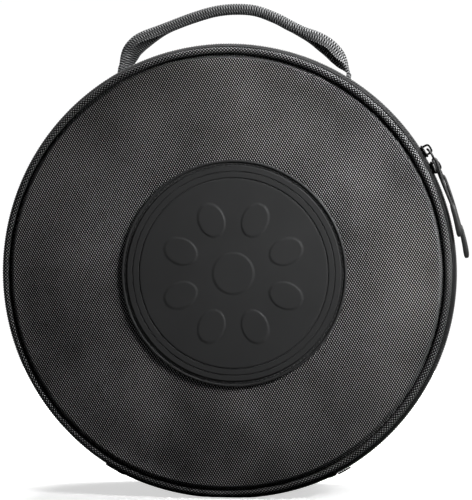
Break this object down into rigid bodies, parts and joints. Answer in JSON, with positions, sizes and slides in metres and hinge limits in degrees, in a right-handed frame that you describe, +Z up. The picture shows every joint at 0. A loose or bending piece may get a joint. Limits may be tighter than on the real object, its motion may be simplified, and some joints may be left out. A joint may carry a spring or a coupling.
{
  "type": "round carrying case",
  "caption": "Round padded zip-around carrying case for a small hand percussion instrument, with a hinged lid, moulded round badge, webbing handle and corded zip pulls.",
  "frame": {"origin": "middle of the flat on the base patch that the case stands on, under the middle of its depth", "axes": "+Z up through the handle, -Y out of the lid with its badge, +X to the right seen from the front"},
  "size_m": [0.3401, 0.1151, 0.3588],
  "materials": {
    "nylon": "matte",
    "foam": "matte",
    "lining": "matte",
    "trim": "matte",
    "webbing": "matte",
    "coil": "satin",
    "thread": "matte",
    "badge": "satin",
    "slider_metal": "gloss",
    "grip": "satin"
  },
  "bodies": {
    "case_body": {"back_face_cloth": "nylon", "back_face_foam": "foam", "back_face_lining": "lining", "body_side_cloth": "nylon", "body_side_foam": "foam", "body_side_lining": "lining", "back_piping": "trim", "back_seam_binding": "trim", "body_zip_tape": "trim", "body_zip_coil": "coil", "base_patch_rear": "webbing", "zip_end_tab_left": "trim", "zip_end_tab_right": "trim", "handle_tab_left": "webbing", "handle_tab_right": "webbing", "handle_stitch_left_front": "thread", "handle_stitch_left_rear": "thread", "handle_stitch_right_front": "thread", "handle_stitch_right_rear": "thread"},
    "lid": {"lid_face_cloth": "nylon", "lid_face_foam": "foam", "lid_face_lining": "lining", "lid_side_cloth": "nylon", "lid_side_foam": "foam", "lid_side_lining": "lining", "lid_piping": "trim", "lid_seam_binding": "trim", "lid_zip_tape": "trim", "lid_zip_coil": "coil", "badge": "badge", "badge_stitching": "thread", "base_patch_front": "webbing"},
    "handle": {"handle_loop": "webbing"},
    "slider_left": {"slider_left": "slider_metal"},
    "slider_right": {"slider_right": "slider_metal"},
    "bail_left": {"bail_left": "slider_metal"},
    "bail_right": {"bail_right": "slider_metal"},
    "pull_left": {"pull_cord_left": "webbing", "pull_grip_left": "grip"},
    "pull_right": {"pull_cord_right": "webbing", "pull_grip_right": "grip"}
  },
  "joints": [
    {"name": "lid_hinge", "type": "hinge", "parent": "case_body", "child": "lid", "pos_m": [0, -0.035, 0], "axis": [1, 0, 0], "range_deg": [0, 180]},
    {"name": "handle_tilt", "type": "hinge", "parent": "case_body", "child": "handle", "pos_m": [0, -0.006, 0.316], "axis": [1, 0, 0], "range_deg": [-55, 55]},
    {"name": "left_slider_travel", "type": "hinge", "parent": "case_body", "child": "slider_left", "pos_m": [0, -0.035, 0.1625], "axis": [0, -1, 0], "range_deg": [0, 203]},
    {"name": "right_slider_travel", "type": "hinge", "parent": "case_body", "child": "slider_right", "pos_m": [0, -0.035, 0.1625], "axis": [0, -1, 0], "range_deg": [-82, 0]},
    {"name": "left_bail_swing", "type": "hinge", "parent": "slider_left", "child": "bail_left", "pos_m": [0.14478, -0.035, 0.25122], "axis": [0, -1, 0], "range_deg": [0, 120]},
    {"name": "right_bail_swing", "type": "hinge", "parent": "slider_right", "child": "bail_right", "pos_m": [0.15143, -0.035, 0.23932], "axis": [0, -1, 0], "range_deg": [0, 120]},
    {"name": "left_pull_swing", "type": "hinge", "parent": "bail_left", "child": "pull_left", "pos_m": [0.14948, -0.035, 0.24355], "axis": [0, -1, 0], "range_deg": [0, 35]},
    {"name": "right_pull_swing", "type": "hinge", "parent": "bail_right", "child": "pull_right", "pos_m": [0.1555, -0.035, 0.2313], "axis": [0, -1, 0], "range_deg": [0, 35]}
  ]
}
